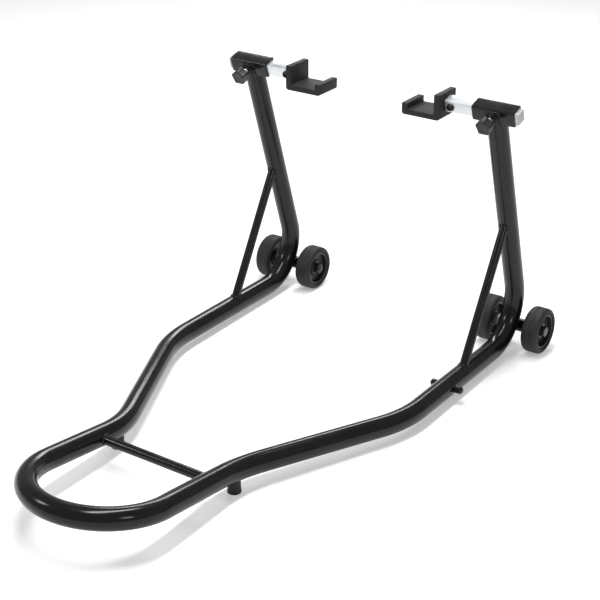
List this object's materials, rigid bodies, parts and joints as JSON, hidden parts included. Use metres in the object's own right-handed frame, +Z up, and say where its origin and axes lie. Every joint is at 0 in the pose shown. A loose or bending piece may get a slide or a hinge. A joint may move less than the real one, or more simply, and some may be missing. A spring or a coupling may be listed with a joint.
{
  "type": "motorcycle paddock stand",
  "caption": "Rear paddock stand for a motorcycle: a bent tube frame on wheels and rubber feet, with clamped sliding arms that carry rubber-covered lifting pads.",
  "frame": {"origin": "on the floor below the middle of the stand's bounding box", "axes": "+Z up; +Y from the handle to the wheels; +X to the stand's right, seen from the handle looking towards the wheels"},
  "size_m": [0.467, 0.7669, 0.3752],
  "materials": {
    "coat": "gloss black powder coat",
    "rubber": "matte black rubber",
    "tyre": "matte black solid tyre",
    "plastic": "satin black plastic",
    "zinc": "bright zinc plate",
    "black_steel": "black oxide steel",
    "pale_plastic": "pale grey plastic"
  },
  "bodies": {
    "frame": {"frame_tube": "coat", "cross_brace": "coat", "diagonal_brace_left": "coat", "diagonal_brace_right": "coat", "side_peg": "coat", "socket_left": "coat", "clamp_boss_left": "coat", "foot_left": "rubber", "foot_screw_left": "zinc", "axle_sleeve_left": "coat", "axle_spacer_left_inner": "zinc", "axle_spacer_left_outer": "zinc", "axle_bolt_left": "zinc", "axle_nut_left": "zinc", "socket_right": "coat", "clamp_boss_right": "coat", "foot_right": "rubber", "foot_screw_right": "zinc", "axle_sleeve_right": "coat", "axle_spacer_right_inner": "zinc", "axle_spacer_right_outer": "zinc", "axle_bolt_right": "zinc", "axle_nut_right": "zinc"},
    "wheel_left_outer": {"wheel_left_outer_tyre": "tyre", "wheel_left_outer_hub": "plastic", "wheel_left_outer_bush": "black_steel"},
    "wheel_left_inner": {"wheel_left_inner_tyre": "tyre", "wheel_left_inner_hub": "plastic", "wheel_left_inner_bush": "black_steel"},
    "slider_arm_left": {"slider_left": "zinc", "slider_plug_left": "pale_plastic", "pad_screw_left": "black_steel"},
    "pad_left": {"pad_cover_left": "rubber", "pad_channel_left": "black_steel", "pad_pin_left": "black_steel"},
    "clamp_rod_left": {"clamp_screw_left": "zinc"},
    "knob_left": {"clamp_knob_left": "plastic"},
    "wheel_right_outer": {"wheel_right_outer_tyre": "tyre", "wheel_right_outer_hub": "plastic", "wheel_right_outer_bush": "black_steel"},
    "wheel_right_inner": {"wheel_right_inner_tyre": "tyre", "wheel_right_inner_hub": "plastic", "wheel_right_inner_bush": "black_steel"},
    "slider_arm_right": {"slider_right": "zinc", "slider_plug_right": "pale_plastic", "pad_screw_right": "black_steel"},
    "pad_right": {"pad_cover_right": "rubber", "pad_channel_right": "black_steel", "pad_pin_right": "black_steel"},
    "clamp_rod_right": {"clamp_screw_right": "zinc"},
    "knob_right": {"clamp_knob_right": "plastic"}
  },
  "joints": [
    {"name": "wheel_left_outer_spin", "type": "hinge", "parent": "frame", "child": "wheel_left_outer", "pos_m": [-0.221, 0.35175, 0.03175], "axis": [1, 0, 0], "continuous": true},
    {"name": "wheel_left_inner_spin", "type": "hinge", "parent": "frame", "child": "wheel_left_inner", "pos_m": [-0.149, 0.35175, 0.03175], "axis": [1, 0, 0], "continuous": true},
    {"name": "slider_left_slide", "type": "slide", "parent": "frame", "child": "slider_arm_left", "axis": [-1, 0, 0], "range_m": [-0.022, 0.024]},
    {"name": "pad_left_swivel", "type": "hinge", "parent": "slider_arm_left", "child": "pad_left", "pos_m": [-0.125, 0.25758, 0.3607], "axis": [1, 0, 0], "range_deg": [-20, 20]},
    {"name": "clamp_left_advance", "type": "slide", "parent": "frame", "child": "clamp_rod_left", "axis": [0, -0.9516, -0.3074], "range_m": [0, 0.0046]},
    {"name": "knob_left_turn", "type": "hinge", "parent": "clamp_rod_left", "child": "knob_left", "pos_m": [-0.185, 0.25758, 0.3607], "axis": [0, -0.9516, -0.3074], "range_deg": [0, 1080]},
    {"name": "wheel_right_outer_spin", "type": "hinge", "parent": "frame", "child": "wheel_right_outer", "pos_m": [0.221, 0.35175, 0.03175], "axis": [1, 0, 0], "continuous": true},
    {"name": "wheel_right_inner_spin", "type": "hinge", "parent": "frame", "child": "wheel_right_inner", "pos_m": [0.149, 0.35175, 0.03175], "axis": [1, 0, 0], "continuous": true},
    {"name": "slider_right_slide", "type": "slide", "parent": "frame", "child": "slider_arm_right", "axis": [1, 0, 0], "range_m": [-0.022, 0.024]},
    {"name": "pad_right_swivel", "type": "hinge", "parent": "slider_arm_right", "child": "pad_right", "pos_m": [0.125, 0.25758, 0.3607], "axis": [1, 0, 0], "range_deg": [-20, 20]},
    {"name": "clamp_right_advance", "type": "slide", "parent": "frame", "child": "clamp_rod_right", "axis": [0, -0.9516, -0.3074], "range_m": [0, 0.0046]},
    {"name": "knob_right_turn", "type": "hinge", "parent": "clamp_rod_right", "child": "knob_right", "pos_m": [0.185, 0.25758, 0.3607], "axis": [0, -0.9516, -0.3074], "range_deg": [0, 1080]}
  ],
  "couplings": [
    {"joint": "clamp_left_advance", "follows": "knob_left_turn", "m_per_rad": 0.00023873},
    {"joint": "clamp_right_advance", "follows": "knob_right_turn", "m_per_rad": 0.00023873}
  ]
}
